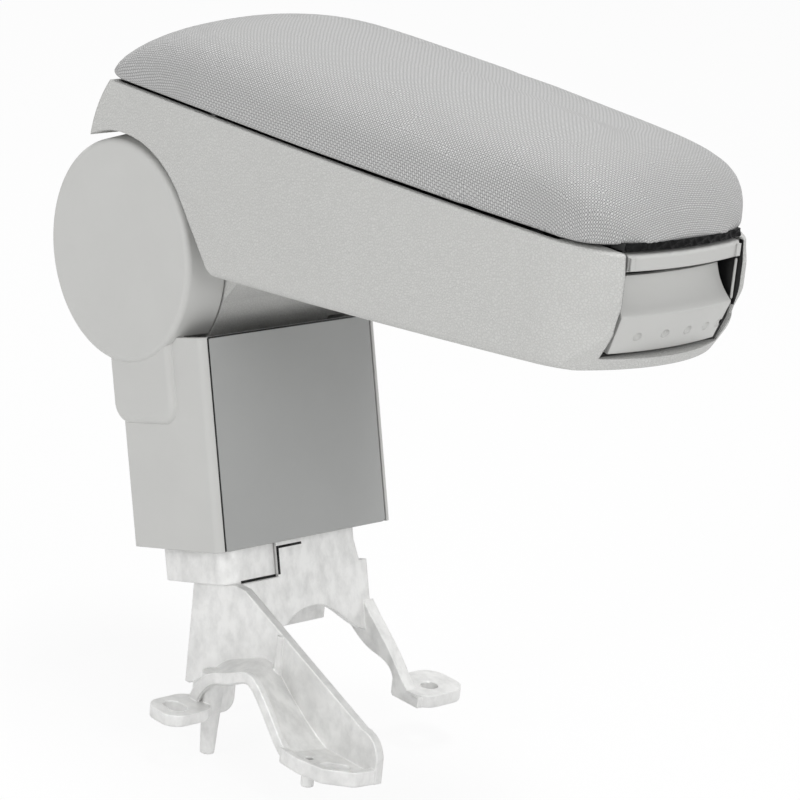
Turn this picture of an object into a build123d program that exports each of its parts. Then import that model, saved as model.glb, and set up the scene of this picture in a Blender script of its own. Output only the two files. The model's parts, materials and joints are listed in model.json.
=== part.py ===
from build123d import *
import os
from math import atan2, cos, degrees, hypot, radians, sin, tan

os.makedirs("parts", exist_ok=True)

# Main sizes, in millimetres and degrees
hinge_height = 197.0         # hinge axis above the underside of the feet
column_lean = 15.7           # the column leans back by this angle
disc_radius = 52.0           # round hinge ends of the column
disc_face = 56.5             # outer face of a hinge end, from the middle
arm_half_width = 57.0        # arm at the hinge
arm_nose_half_width = 49.5   # arm at the start of its rounded front corners
arm_top = 78.0               # parting plane of the box and the lid, above the hinge
wall = 3.0                   # moulded walls of the arm
running_gap = 0.4            # between bodies that pass each other
fit_gap = 0.1                # round a screw or a bolt
bearing_gap = 0.05           # round a turning pin

# Column
column_rear = -14.0          # rear face, behind the hinge axis
column_half_width = 52.5
column_wall = 2.5
cover_bottom = -139.4        # lower edge of the covers, along the column
panel_top = -40.4
panel_inset = 3.9            # edge of the front panel inside the column's side
panel_thickness = 3.0
panel_gap = 0.3
disc_inner = 36.3            # inner end of a hinge end
disc_taper = 6.5             # a hinge end is this much conical
disc_edge = 3.0
cover_corner = 4.0
boss_reach = 2.6             # boss under a hinge end, beyond the side of the column
lug_front = 46.4             # lugs of the covers behind the front panel
lug_thickness = 2.2

# Post
post_bottom = -157.0
post_top = -60.0
post_rear = -10.0
post_front = 41.0
post_half_width = 41.0
post_corner = 8.0
ear_inner = 16.0
ear_outer = 24.0
ear_radius = 18.0
neck_rear = -6.0
neck_front = 18.0

# Hinge
axle_radius = 6.0
friction_washer = 1.5
bracket_thickness = 3.0
bush_wall = 2.0
spring_washer = 2.0
nut_thickness = 6.5
head_thickness = 4.5
hub_half_width = 35.5
hub_inner = 52.0
hub_outer = 55.0
hub_front_angle = -45.0
hub_rear_angle = 190.0

# Arm
cutout_radius = 56.0         # arm's edge round a hinge end
cutout_rear_angle = 118.5
cutout_front_angle = 38.0
heel_x = 68.5                # lower rear corner of the arm
heel_h = 6.0
belly_set = 7.0              # end of the sloping underside behind the front
arm_rear_top = -15.0
arm_rear_mid = -23.0
nose_x = 304.0               # front of the arm on the middle line
nose_corner_x = 300.0
nose_corner_y = 33.0
side_bend_x = 90.0           # where the sides start to taper
nose_bend_x = 268.0          # where the front corners start
mouth_half_width = 34.6      # opening of the front grips
underside_round = 5.0
mouth_round = 7.0            # upper corners of the opening
nose_axis_x = 222.0          # axis of the swept-back lower front
nose_turn = 55.0
nose_sweep = [(-9.5, -4.0), (-7.0, 0.0), (-3.6, 6.0), (2.4, 18.5), (5.2, 27.5), (8.0, 36.0)]

# Lid
lid_rear = -22.0
lid_front = 302.0
lid_crown = 41.3
lid_rear_half_width = 58.3
lid_nose_half_width = 49.8
board_gap = 0.4
board_thickness = 1.3
board_inset = 7.0
board_lip = 3.3              # front edge of the board, seen above the handle
lid_hinge_back = 5.5         # lid's hinge behind the arm's rear wall
lid_hinge_drop = 2.5         # and below the parting plane
knuckle_radius = 3.0
lid_pin_radius = 1.5
knuckle_inner = 18.0
knuckle_middle = 30.0
knuckle_outer = 42.0

# Tray
tray_rear = 64.0
tray_front = 264.0
tray_half_width = 40.5
tray_wall = 2.0
tray_rim_top = 76.4
tray_rim = 1.8
tray_floor_rear = 16.0
tray_floor_front = 39.0

# Front grips
bow_radius = 157.0           # bow of the front grips in plan
bow_angle = 14.0
bezel_rear = 270.0
bezel_wall = 1.5
handle_half_width = 32.4
handle_drop = 0.9            # top of the upper grip below the parting plane
handle_height = 7.3
handle_depth = 7.0
grip_gap = 3.6               # between the two grips
lever_half_width = 32.1
lever_hollow = 15.2          # height of the lower grip's hollow upper face
lever_lower = 17.4           # height of its lower face
lever_top_set = 8.0          # how far the upper edge stands back from the crease
lever_hollow_set = 6.0       # and the middle of the hollow face
lever_bottom_set = 6.7       # and the lower edge
lever_pivot_drop = 6.2       # pivot below the upper edge
lever_pivot_set = 17.0       # and behind the crease
lever_skin = 2.5
sill_gap = 1.9               # between the lower grip and the arm's lip
lip_height = 5.3             # arm's front lip
crease_round = 1.2
dimple_radius = 2.3
dimple_rise = 7.0            # dimples above the lower edge
dimple_angles = (-7.4, -1.8, 3.2, 7.7, 11.2)
lever_pin_radius = 1.5

# Tilt lock
rod_radius = 1.5
rod_y = 6.5
rod_hole = 2.0
pawl_pivot_x = 36.0
pawl_pivot_h = 30.0
rod_rear_h = 9.0
rod_slope = 6.7
pawl_half_thickness = 4.0
pawl_pin_radius = 2.5
sector_radius = 30.0
sector_half_thickness = 3.0
sector_teeth = 9
tooth_step = 6.0
tooth_depth = 3.0

# Base casting
casting = 4.0                # casting walls
foot_thickness = 6.0
near_plate = -34.0           # inner face of the near side plate
far_plate = 38.0             # inner face of the far side plate
deck_rear = 12.0
deck_front = 43.0
deck_thickness = 5.0
upstand_left = -12.0
upstand_top = -96.0
front_foot_tip = 191.0
front_rim_x = 179.0          # where the near plate's rim turns down
front_rim = 0.39             # height of the rim there, as a share of the deck's
flange_reach = 24.0          # width of the near flange
lip_rise = 2.0               # raised edge of the near flange
arch_inner_line = [(56.0, 0.017), (68.0, 0.157), (81.0, 0.348), (97.0, 0.47), (111.0, 0.54), (125.0, 0.4),
                   (141.0, 0.217), (158.0, 0.078)]
arch_outer_line = [(84.0, 0.035), (88.0, 0.21), (96.0, 0.348), (110.0, 0.443), (123.0, 0.522), (132.0, 0.426),
                   (141.0, 0.26), (152.0, 0.078)]
far_leg_line = [(1.0, 1.0), (0.71, 0.72), (0.365, 0.39), (0.13, 0.12), (0.0, 0.0)]
far_low_line = [(110.0, 0.36), (96.0, 0.44), (80.0, 0.645)]
sole = 4.5                   # floor of the front foot inside its rim
wall_spread = 8.0            # how much the front wall widens below the deck
arch_rise = 17.0             # crown of the front wall's arch below the deck
bolt_radius = 4.0
foot_bolt_radius = 4.3
locating_pin_length = 20.0

panel_half_width = column_half_width - panel_inset

# Heights of the front grips, downwards from the parting plane
handle_top = arm_top - handle_drop
handle_bottom = handle_top - handle_height
lever_top_h = handle_bottom - grip_gap
crease_h = lever_top_h - lever_hollow
lever_bottom_h = crease_h - lever_lower
mouth_sill = lever_bottom_h - sill_gap
belly_h = mouth_sill - lip_height
lever_pivot_h = lever_top_h - lever_pivot_drop
lever_pivot_x = nose_x - 1 - lever_pivot_set
dimple_h = lever_bottom_h + dimple_rise
lid_hinge_x = arm_rear_top - lid_hinge_back
lid_hinge_h = arm_top - lid_hinge_drop

# Directions and planes
lean_cos = cos(radians(column_lean))
lean_sin = sin(radians(column_lean))
hinge = Vector(0, 0, hinge_height)
column_forward = Vector(lean_cos, 0, lean_sin)
column_up = Vector(-lean_sin, 0, lean_cos)
floor_side = Plane(origin=(0, 0, 0), x_dir=(1, 0, 0), z_dir=(0, -1, 0))
arm_side = Plane(origin=hinge, x_dir=(1, 0, 0), z_dir=(0, -1, 0))
column_side = Plane(origin=hinge, x_dir=column_forward, z_dir=(0, -1, 0))
bow_turn = radians(bow_angle)
bow_side = Plane(
    origin=(nose_x - 1 - bow_radius, 0, hinge_height),
    x_dir=(cos(bow_turn), -sin(bow_turn), 0),
    z_dir=(-sin(bow_turn), -cos(bow_turn), 0),
)
bow_axis = Axis((nose_x - 1 - bow_radius, 0, hinge_height), (0, 0, 1))
nose_swing = radians(nose_turn)
nose_side = Plane(
    origin=(nose_axis_x, 0, hinge_height),
    x_dir=(cos(nose_swing), -sin(nose_swing), 0),
    z_dir=(-sin(nose_swing), -cos(nose_swing), 0),
)
nose_axis = Axis((nose_axis_x, 0, hinge_height), (0, 0, 1))


def at_y(plane, y):
    """A side view moved to a distance left of the middle; extrusions from it run to the right."""
    return plane.offset(-y)


def column_front(u):
    """A plane across the column, u in front of the hinge axis: local x to the left, local y up the column."""
    return Plane(origin=hinge + column_forward * u, x_dir=(0, 1, 0), z_dir=column_forward)


def column_level(w):
    """A plane square to the column, w up from the hinge axis: local x forward, local y to the left."""
    return Plane(origin=hinge + column_up * w, x_dir=column_forward, z_dir=column_up)


def arm_level(h):
    """A level plane, h above the hinge axis."""
    return Plane.XY.offset(hinge_height + h)


def floor_point(u, w):
    """A point of the column's side view in the side view of the feet."""
    return (u * lean_cos - w * lean_sin, hinge_height + u * lean_sin + w * lean_cos)


def polar(radius, angle):
    """A point at this radius and angle from the hinge axis, in a side view."""
    return (radius * cos(radians(angle)), radius * sin(radians(angle)))


def ring_sector(inner, outer, start, end):
    """A face between two radii and two angles round the hinge axis."""
    with BuildLine() as outline:
        CenterArc((0, 0), outer, start, end - start)
        Line(polar(outer, end), polar(inner, end))
        CenterArc((0, 0), inner, end, start - end)
        Line(polar(inner, start), polar(outer, start))
    make_face(outline.edges())


def arm_plan(inset=0.0):
    """Plan of the arm, drawn in by an inset: sides that taper gently, rounded corners and a bowed front."""
    side = arm_half_width - inset
    nose_side = arm_nose_half_width - inset
    corner = (nose_corner_x - inset, nose_corner_y - inset / 2)
    rear = arm_rear_mid - 20
    slope = 2 * atan2(side - nose_side, nose_bend_x - side_bend_x)
    with BuildLine() as outline:
        Polyline((side_bend_x, side), (rear, side), (rear, -side), (side_bend_x, -side))
        for hand in (-1, 1):
            TangentArc((side_bend_x, hand * side), (nose_bend_x, hand * nose_side), tangent=(1, 0))
            TangentArc((nose_bend_x, hand * nose_side), (corner[0], hand * corner[1]),
                       tangent=(cos(slope), -hand * sin(slope)))
        ThreePointArc((corner[0], -corner[1]), (nose_x - inset, 0), corner)
    make_face(outline.edges())


def arm_profile(inset=0.0):
    """Side view of the arm, drawn in by an inset: rear end, cut-out over the hinge ends, underside, front."""
    radius = cutout_radius + inset
    rear_angle = cutout_rear_angle - degrees(inset / radius)
    rear_end = polar(radius, rear_angle)
    with BuildLine() as outline:
        ThreePointArc((arm_rear_top + inset, arm_top), (arm_rear_mid + inset, (arm_top + rear_end[1]) / 2),
                      rear_end)
        CenterArc((0, 0), radius, rear_angle, cutout_front_angle - rear_angle)
        Polyline(polar(radius, cutout_front_angle), (heel_x + 0.43 * inset, heel_h + 1.04 * inset),
                 (nose_x - belly_set - inset, belly_h + inset), (nose_x - 4 - inset, mouth_sill),
                 (nose_x - inset, crease_h + 3), (nose_x - inset, arm_top - mouth_round))
        TangentArc((nose_x - inset, arm_top - mouth_round), (nose_x - mouth_round - inset, arm_top),
                   tangent=(0, 1))
        Line((nose_x - mouth_round - inset, arm_top), (arm_rear_top + inset, arm_top))
    make_face(outline.edges())


def thickened(points, thickness):
    """The points moved square to their line, to the right of its direction."""
    moved = []
    for i, (x, z) in enumerate(points):
        before = points[max(i - 1, 0)]
        after = points[min(i + 1, len(points) - 1)]
        step = thickness / hypot(after[0] - before[0], after[1] - before[1])
        moved.append((x + step * (after[1] - before[1]), z - step * (after[0] - before[0])))
    return moved


def export(part, name):
    part.label = name
    export_step(part, f"parts/{name}.step")


rod_line_slope = tan(radians(rod_slope))
rod_front_h = rod_rear_h + (lever_pivot_x - pawl_pivot_x) * rod_line_slope
deck_rear_top = floor_point(deck_rear, post_bottom)
deck_front_top = floor_point(deck_front, post_bottom)
bolt_places = [(27.0, -20.0), (27.0, 20.0)]
upstand_bolts = [(4.0, -118.0), (28.0, -118.0)]
cover_screw_y = 36.5
cover_screw_w = (-88.0, -70.0)
cover_screw_places = [(side * cover_screw_y, w) for side in (-1, 1) for w in cover_screw_w]
small_screw = 1.5
small_head = 2.6
shield_foot = 2.5
shield_screw_places = [(-2.5, -7.0), (-2.5, 7.0)]
sector_foot = 4.0
sector_screw_places = [(10.0, -8.0), (10.0, 8.0)]
post_screw_depth = 12.0

# Base: a die-cast bracket on three feet, a near plate with a flanged arch and leg, a front wall, a far plate
deck_x, deck_z = deck_front_top
arch_inner = [(x, deck_z * share) for x, share in arch_inner_line]
arch_outer = [(x, deck_z * share) for x, share in arch_outer_line]
front_rim_z = deck_z * front_rim
rim_end = (front_foot_tip, foot_thickness + 6)
plate_low = thickened(arch_inner, casting / 2)
near_face = near_plate - casting
far_face = far_plate + casting
wall_levels = [post_bottom - depth for depth in (0.0, arch_rise, 19.5, 34.5)]
with BuildPart() as base_casting:
    # Front foot: a flat sole with a rim, open towards the leg
    leg_end = arch_outer[-1][0]
    with BuildSketch(Plane.XY) as front_foot:
        with BuildLine():
            FilletPolyline((leg_end - 4, near_plate), (leg_end - 4, near_plate - flange_reach - 2),
                           (leg_end + 12, -61), (front_foot_tip - 13, -58.5), (front_foot_tip - 2, -48),
                           (front_foot_tip, near_plate), radius=5)
            Line((front_foot_tip, near_plate), (leg_end - 4, near_plate))
        make_face()
    extrude(amount=foot_thickness + 1)
    with BuildSketch(Plane.XY.offset(sole)):
        add(front_foot.sketch)
        offset(amount=-casting * 0.75)
        with Locations((leg_end - 8, -50)):
            Rectangle(16, 18)
    extrude(amount=casting, mode=Mode.SUBTRACT)
    # Near side plate
    with BuildSketch(at_y(floor_side, near_plate)):
        with BuildLine() as near_outline:
            Spline(*plate_low)
            Polyline(plate_low[-1], (plate_low[-1][0], 0), (front_foot_tip, 0), rim_end)
            Spline(rim_end, (front_foot_tip - 4, front_rim_z - 3), (front_rim_x, front_rim_z))
            Polyline((front_rim_x, front_rim_z), (deck_x + 7, deck_z), deck_front_top, deck_rear_top,
                     (deck_rear_top[0], -1), (plate_low[0][0], -1), plate_low[0])
        make_face(near_outline.edges())
    extrude(amount=casting)
    # Flange of the arch and the leg, with a raised edge
    for y, points in ((near_plate - casting / 4, arch_inner), (near_plate - flange_reach, arch_outer)):
        under = thickened(points, casting)
        with BuildSketch(at_y(floor_side, y)):
            with BuildLine() as flange:
                Spline(*points)
                Line(points[-1], under[-1])
                Spline(*reversed(under))
                Line(under[0], points[0])
            make_face(flange.edges())
    loft()
    over = thickened(arch_outer, -lip_rise)
    under = thickened(arch_outer, casting * 0.8)
    with BuildSketch(at_y(floor_side, near_plate - flange_reach + casting / 2)):
        with BuildLine() as raised_edge:
            Spline(*over)
            Line(over[-1], under[-1])
            Spline(*reversed(under))
            Line(under[0], over[0])
        make_face(raised_edge.edges())
    extrude(amount=casting * 0.75)
    # Near rear foot
    with BuildSketch(Plane.XY):
        with Locations((88, -68)):
            RectangleRounded(22, 26, 8)
    extrude(amount=foot_thickness - 0.5)
    # Front wall with its arch, wider below, and the upstand behind the front panel
    with BuildSketch(column_front(deck_front)):
        with BuildLine() as wall_outline:
            Polyline((-10, wall_levels[2] - 4), (near_face, wall_levels[2] - 4), (near_face, post_bottom),
                     (upstand_left, post_bottom), (upstand_left, upstand_top),
                     (far_face - wall_spread, upstand_top), (far_face - wall_spread, post_bottom + 15),
                     (far_face, wall_levels[2]), (far_face, wall_levels[3]))
            Spline((far_face, wall_levels[3]), (far_plate - 13, wall_levels[3] + 9.5),
                   (13, wall_levels[1] - 0.5), (4, wall_levels[1]), (-10, wall_levels[2] - 4))
        make_face(wall_outline.edges())
    extrude(amount=-casting)
    with BuildSketch(column_level(post_bottom)):
        with Locations(((deck_rear + deck_front) / 2, (near_plate + far_plate) / 2)):
            Rectangle(deck_front - deck_rear, far_face - near_face)
    extrude(amount=-deck_thickness)
    # Far side plate and its curved leg
    leg_top = floor_point(deck_front, wall_levels[2])
    far_rear = (deck_rear_top[0], deck_rear_top[1] * 0.67)
    far_rim = [(127 - (127 - leg_top[0]) * back, 5 + (leg_top[1] - 5) * up) for back, up in far_leg_line]
    with BuildSketch(at_y(floor_side, far_face)):
        with BuildLine() as far_outline:
            Spline(*far_rim)
            Polyline(far_rim[-1], (134, 5), (134, 0), (116, 0))
            Spline((116, 0), *[(x, leg_top[1] * share) for x, share in far_low_line], far_rear)
            Polyline(far_rear, deck_rear_top, deck_front_top, leg_top)
        make_face(far_outline.edges())
    extrude(amount=casting)
    # Rolled edge of the far leg
    rolled = thickened(far_rim, casting)
    with BuildSketch(at_y(floor_side, far_face + 2)):
        with BuildLine() as rolled_edge:
            Spline(*far_rim)
            Line(far_rim[-1], rolled[-1])
            Spline(*reversed(rolled))
            Line(rolled[0], far_rim[0])
        make_face(rolled_edge.edges())
    extrude(amount=casting + 2)
    with BuildSketch(Plane.XY):
        with Locations((123, 53)):
            RectangleRounded(28, 30, 10)
    extrude(amount=foot_thickness)
    # Rear wall and its locating tongue
    rear_wall = Plane(origin=(deck_rear_top[0], 0, 0), x_dir=(0, 1, 0), z_dir=(1, 0, 0))
    with BuildSketch(rear_wall):
        with Locations(((near_plate + far_plate) / 2, deck_rear_top[1] - 1)):
            Rectangle(far_face - near_face, deck_rear_top[1] * 0.61, align=(Align.CENTER, Align.MAX))
        with Locations((-17, -locating_pin_length)):
            RectangleRounded(14, deck_rear_top[1] - 10 + locating_pin_length, 6,
                             align=(Align.CENTER, Align.MIN))
    extrude(amount=casting)
    # Rib where the leg leaves the near plate
    rib_x = 119.0
    rib_foot = deck_z * 0.45
    rib_top = front_rim_z + (deck_z - front_rim_z) * (front_rim_x - rib_x) / (front_rim_x - deck_x - 7)
    with BuildSketch(Plane.XY.offset(rib_foot)):
        with Locations((rib_x, near_face)):
            Circle(2.5)
    extrude(amount=rib_top - rib_foot - 1, taper=2)
    # Holes of the feet
    with BuildSketch(Plane.XY):
        with Locations(Location((175, -48), 43)):
            SlotOverall(14, 2 * foot_bolt_radius)
        with Locations((88, -71)):
            SlotOverall(13, 2 * foot_bolt_radius)
        with Locations((126, 52)):
            Circle(foot_bolt_radius)
    extrude(amount=foot_thickness, mode=Mode.SUBTRACT)
    # Bolt holes of the post
    with BuildSketch(column_level(post_bottom)):
        with Locations(*bolt_places):
            Circle(bolt_radius + fit_gap)
    extrude(amount=-deck_thickness, mode=Mode.SUBTRACT)
    with BuildSketch(column_front(deck_front)):
        with Locations(*upstand_bolts):
            Circle(bolt_radius + fit_gap)
    extrude(amount=-casting, mode=Mode.SUBTRACT)
    # Locating pins
    with BuildSketch(Plane.XY.offset(sole)):
        with Locations((162, -52)):
            Circle(3)
    extrude(amount=-sole - 8.5)
    with BuildSketch(Plane.XY.offset(sole)):
        with Locations((162, -52)):
            Circle(1.8)
    extrude(amount=-5, mode=Mode.SUBTRACT)
    with BuildSketch(Plane.XY.offset(20)):
        with Locations((91, -52)):
            Circle(5.5)
    extrude(amount=-20 - locating_pin_length, taper=3)
export(base_casting.part, "base_casting")

# Post: a block that stands on the base, with two ears for the hinge
with BuildPart() as post_casting:
    with BuildSketch(column_level(post_bottom)):
        with Locations(((post_rear + post_front) / 2, 0)):
            RectangleRounded(post_front - post_rear, 2 * post_half_width, post_corner)
    extrude(amount=post_top - post_bottom)
    for side in (-1, 1):
        with BuildSketch(at_y(column_side, side * (ear_inner + ear_outer) / 2 + (ear_outer - ear_inner) / 2)):
            Circle(ear_radius)
            with Locations(((neck_rear + neck_front) / 2, post_top / 2)):
                Rectangle(neck_front - neck_rear, -post_top)
        extrude(amount=ear_outer - ear_inner)
    # Lightening pockets from both sides
    for side in (-1, 1):
        with BuildSketch(at_y(column_side, side * post_half_width)):
            with Locations((14, -100)):
                RectangleRounded(30, 50, 6)
        extrude(amount=side * 28, mode=Mode.SUBTRACT)
    # Rebate for the upstand of the base
    with BuildSketch(column_level(post_bottom)):
        with Locations((deck_front - casting - panel_gap, upstand_left - panel_gap)):
            Rectangle(60, 120, align=(Align.MIN, Align.MIN))
    extrude(amount=upstand_top - post_bottom + panel_gap, mode=Mode.SUBTRACT)
    # Screw bosses of the side covers
    with BuildSketch(column_front(lug_front - lug_thickness - bearing_gap)):
        with Locations(*cover_screw_places):
            Circle(4)
    extrude(amount=-lug_front + lug_thickness + post_front - 2)
    with BuildSketch(column_front(lug_front)):
        with Locations(*cover_screw_places):
            Circle(1.5 + fit_gap)
    extrude(amount=-14, mode=Mode.SUBTRACT)
    with BuildSketch(column_level(post_top)):
        with Locations(*shield_screw_places, *sector_screw_places):
            Circle(small_screw + fit_gap)
    extrude(amount=-post_screw_depth, mode=Mode.SUBTRACT)
    # Axle bore and bolt holes
    with BuildSketch(column_side):
        Circle(axle_radius + bearing_gap)
    extrude(amount=ear_outer + 1, both=True, mode=Mode.SUBTRACT)
    with BuildSketch(column_level(post_bottom)):
        with Locations(*bolt_places):
            Circle(bolt_radius + fit_gap)
    extrude(amount=22, mode=Mode.SUBTRACT)
    with BuildSketch(column_front(deck_front)):
        with Locations(*upstand_bolts):
            Circle(bolt_radius + fit_gap)
    extrude(amount=-casting - 18, mode=Mode.SUBTRACT)
export(post_casting.part, "post_casting")

# Side covers: one moulding each, round hinge end and half of the column
cover_front = disc_radius
with BuildPart() as cover_boss:
    with BuildSketch(at_y(column_side, -column_half_width + 8)):
        with Locations((6.5, -54)):
            RectangleRounded(47, 54, 10)
    extrude(amount=8 + boss_reach)
    fillet(cover_boss.faces().sort_by(Axis.Y)[0].outer_wire().edges(), boss_reach + 1.5)

with BuildPart() as right_side_cover:
    with BuildSketch(at_y(column_side, -disc_inner)):
        Circle(disc_radius + (disc_face - disc_inner) * tan(radians(disc_taper)))
    extrude(amount=disc_face - disc_inner, taper=disc_taper)
    fillet(right_side_cover.faces().sort_by(Axis.Y)[0].outer_wire().edges(), disc_edge)
    with BuildSketch(column_level(cover_bottom)) as cover_plan:
        with Locations((column_rear, -panel_gap / 2)):
            Rectangle(cover_front - column_rear, column_half_width - panel_gap / 2,
                      align=(Align.MIN, Align.MAX))
        fillet(cover_plan.vertices().group_by(Axis.Y)[0], cover_corner)
    extrude(amount=panel_top - cover_bottom)
    add(cover_boss.part)
    # Inside of the column, open at the front for the panel
    with BuildSketch(column_level(cover_bottom)):
        with Locations((column_rear + column_wall, 0)):
            Rectangle(100, panel_half_width + panel_gap, align=(Align.MIN, Align.MAX))
    extrude(amount=panel_top + panel_gap - cover_bottom, mode=Mode.SUBTRACT)
    with BuildSketch(at_y(column_side, -disc_inner)):
        Circle(disc_radius - wall)
    extrude(amount=disc_face - disc_inner - wall, mode=Mode.SUBTRACT)
    # Space for the arm's barrel between the round ends
    with BuildSketch(column_side):
        Circle(hub_outer + 1.5)
        with Locations((cover_front + 1, panel_top)):
            Rectangle(30, 60, align=(Align.MAX, Align.MIN))
    extrude(amount=disc_inner, mode=Mode.SUBTRACT)
    # Lug for the cover screws, behind the front panel
    with BuildSketch(column_front(lug_front)):
        with Locations((-column_half_width + 2, sum(cover_screw_w) / 2)):
            Rectangle(column_half_width - 2 - cover_screw_y + 5, 34, align=(Align.MIN, Align.CENTER))
    extrude(amount=-lug_thickness)
    with BuildSketch(column_front(lug_front)):
        with Locations(*[(-cover_screw_y, w) for w in cover_screw_w]):
            Circle(1.5 + fit_gap)
    extrude(amount=-lug_thickness, mode=Mode.SUBTRACT)
export(right_side_cover.part, "right_side_cover")

with BuildPart() as left_side_cover:
    mirror(right_side_cover.part, about=Plane.XZ)
export(left_side_cover.part, "left_side_cover")

with BuildPart() as front_panel:
    with BuildSketch(column_front(cover_front)):
        with Locations((0, (panel_top + cover_bottom) / 2)):
            RectangleRounded(2 * panel_half_width, panel_top - cover_bottom, 2)
    extrude(amount=-panel_thickness)
    # Two ribs that snap between the lugs of the covers
    with BuildSketch(column_front(cover_front - panel_thickness)):
        with Locations((-27, -75), (27, -75)):
            Rectangle(2, 40)
    extrude(amount=-2)
    chamfer(front_panel.faces().sort_by(Axis(hinge, column_forward))[-1].outer_wire().edges(), 0.6)
export(front_panel.part, "front_panel")

# Shield behind the hinge, inside the arm's barrel
with BuildPart() as rear_hinge_cover:
    with BuildSketch(at_y(column_side, hub_half_width)):
        ring_sector(hub_inner - 5, hub_inner - 2.5, 172, 254)
    extrude(amount=2 * hub_half_width)
    with BuildSketch(at_y(column_side, 12)):
        with BuildLine():
            Polyline((-16, -44.6), (-9, -46), (-7, post_top + shield_foot), (2, post_top + shield_foot),
                     (2, post_top), (post_rear + 0.5, post_top), (-10.4, -54), (-13, -49), close=True)
        make_face()
    extrude(amount=24)
    with BuildSketch(column_level(post_top)):
        with Locations(*shield_screw_places):
            Circle(small_screw + fit_gap)
    extrude(amount=shield_foot, mode=Mode.SUBTRACT)
export(rear_hinge_cover.part, "rear_hinge_cover")

# Hinge: one long bolt through ears and brackets, with friction washers and spring washers
washer_start = ear_outer + bearing_gap
bracket_start = washer_start + friction_washer + bearing_gap
bracket_end = bracket_start + bracket_thickness
spring_start = bracket_end + bearing_gap
spring_end = spring_start + spring_washer
nut_start = spring_end + bearing_gap
with BuildPart() as hinge_axle:
    with BuildSketch(at_y(arm_side, nut_start + nut_thickness + 2)):
        Circle(axle_radius)
    extrude(amount=2 * nut_start + nut_thickness + 2 + 0.5)
    with BuildSketch(at_y(arm_side, -nut_start)):
        RegularPolygon(10, 6)
    extrude(amount=head_thickness)
export(hinge_axle.part, "hinge_axle")

with BuildPart() as axle_nut:
    with BuildSketch(at_y(arm_side, nut_start + nut_thickness)):
        RegularPolygon(10, 6)
        Circle(axle_radius + bearing_gap, mode=Mode.SUBTRACT)
    extrude(amount=nut_thickness)
export(axle_nut.part, "axle_nut")

with BuildPart() as friction_washers:
    for side in (-1, 1):
        with BuildSketch(at_y(arm_side, side * (washer_start + friction_washer / 2) + friction_washer / 2)):
            Circle(14)
            Circle(axle_radius + bearing_gap, mode=Mode.SUBTRACT)
        extrude(amount=friction_washer)
export(friction_washers.part, "friction_washers")

with BuildPart() as spring_washers:
    for side in (-1, 1):
        with BuildSketch(at_y(arm_side, side * (spring_start + spring_washer / 2) + spring_washer / 2)):
            Circle(12)
            Circle(axle_radius + bearing_gap, mode=Mode.SUBTRACT)
        extrude(amount=spring_washer)
export(spring_washers.part, "spring_washers")

# Toothed sector on the axle, held by its leg on the post
with BuildPart() as lock_sector:
    with BuildSketch(at_y(column_side, sector_half_thickness)):
        Circle(13)
        ring_sector(10, sector_radius, -10 - column_lean, 95 - column_lean)
        with Locations((10, post_top / 2)):
            Rectangle(14, -post_top)
        with PolarLocations(sector_radius, sector_teeth, 20 - column_lean, sector_teeth * tooth_step,
                            endpoint=True):
            RegularPolygon(tooth_depth, 4, rotation=45, mode=Mode.SUBTRACT)
        Circle(axle_radius + bearing_gap, mode=Mode.SUBTRACT)
    extrude(amount=2 * sector_half_thickness)
    with BuildSketch(column_level(post_top)):
        with Locations((10, 0)):
            RectangleRounded(14, 24, 2)
    extrude(amount=sector_foot)
    with BuildSketch(column_level(post_top)):
        with Locations(*sector_screw_places):
            Circle(small_screw + fit_gap)
    extrude(amount=sector_foot, mode=Mode.SUBTRACT)
export(lock_sector.part, "lock_sector")

with BuildPart() as post_screws:
    for places, foot in ((shield_screw_places, shield_foot), (sector_screw_places, sector_foot)):
        with BuildSketch(column_level(post_top + foot)):
            with Locations(*places):
                Circle(small_head)
        extrude(amount=1.6)
        with BuildSketch(column_level(post_top + foot)):
            with Locations(*places):
                Circle(small_screw)
        extrude(amount=-foot - post_screw_depth + 1)
export(post_screws.part, "post_screws")

# Rubber stop under the lower edge of the arm's barrel
stop_point = polar(hub_outer, hub_front_angle - column_lean)
with BuildPart() as stop_pad:
    with BuildSketch(column_level(post_top)):
        with Locations((stop_point[0] + 1, 0)):
            RectangleRounded(9, 26, 3)
    extrude(amount=stop_point[1] - running_gap - post_top)
export(stop_pad.part, "stop_pad")

# Screws and bolts of the stand
with BuildPart() as post_bolts:
    with BuildSketch(column_level(post_bottom - deck_thickness)):
        with Locations(*bolt_places):
            RegularPolygon(7, 6)
    extrude(amount=-5)
    with BuildSketch(column_level(post_bottom - deck_thickness)):
        with Locations(*bolt_places):
            Circle(bolt_radius)
    extrude(amount=deck_thickness + 20)
    with BuildSketch(column_front(deck_front)):
        with Locations(*upstand_bolts):
            RegularPolygon(6, 6)
    extrude(amount=4)
    with BuildSketch(column_front(deck_front)):
        with Locations(*upstand_bolts):
            Circle(bolt_radius)
    extrude(amount=-casting - 16)
export(post_bolts.part, "post_bolts")

with BuildPart() as cover_screws:
    with BuildSketch(column_front(lug_front)):
        with Locations(*cover_screw_places):
            Circle(1.5)
    extrude(amount=-lug_thickness - 9)
    with BuildSketch(column_front(lug_front)):
        with Locations(*cover_screw_places):
            Circle(3)
    extrude(amount=2)
export(cover_screws.part, "cover_screws")

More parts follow.
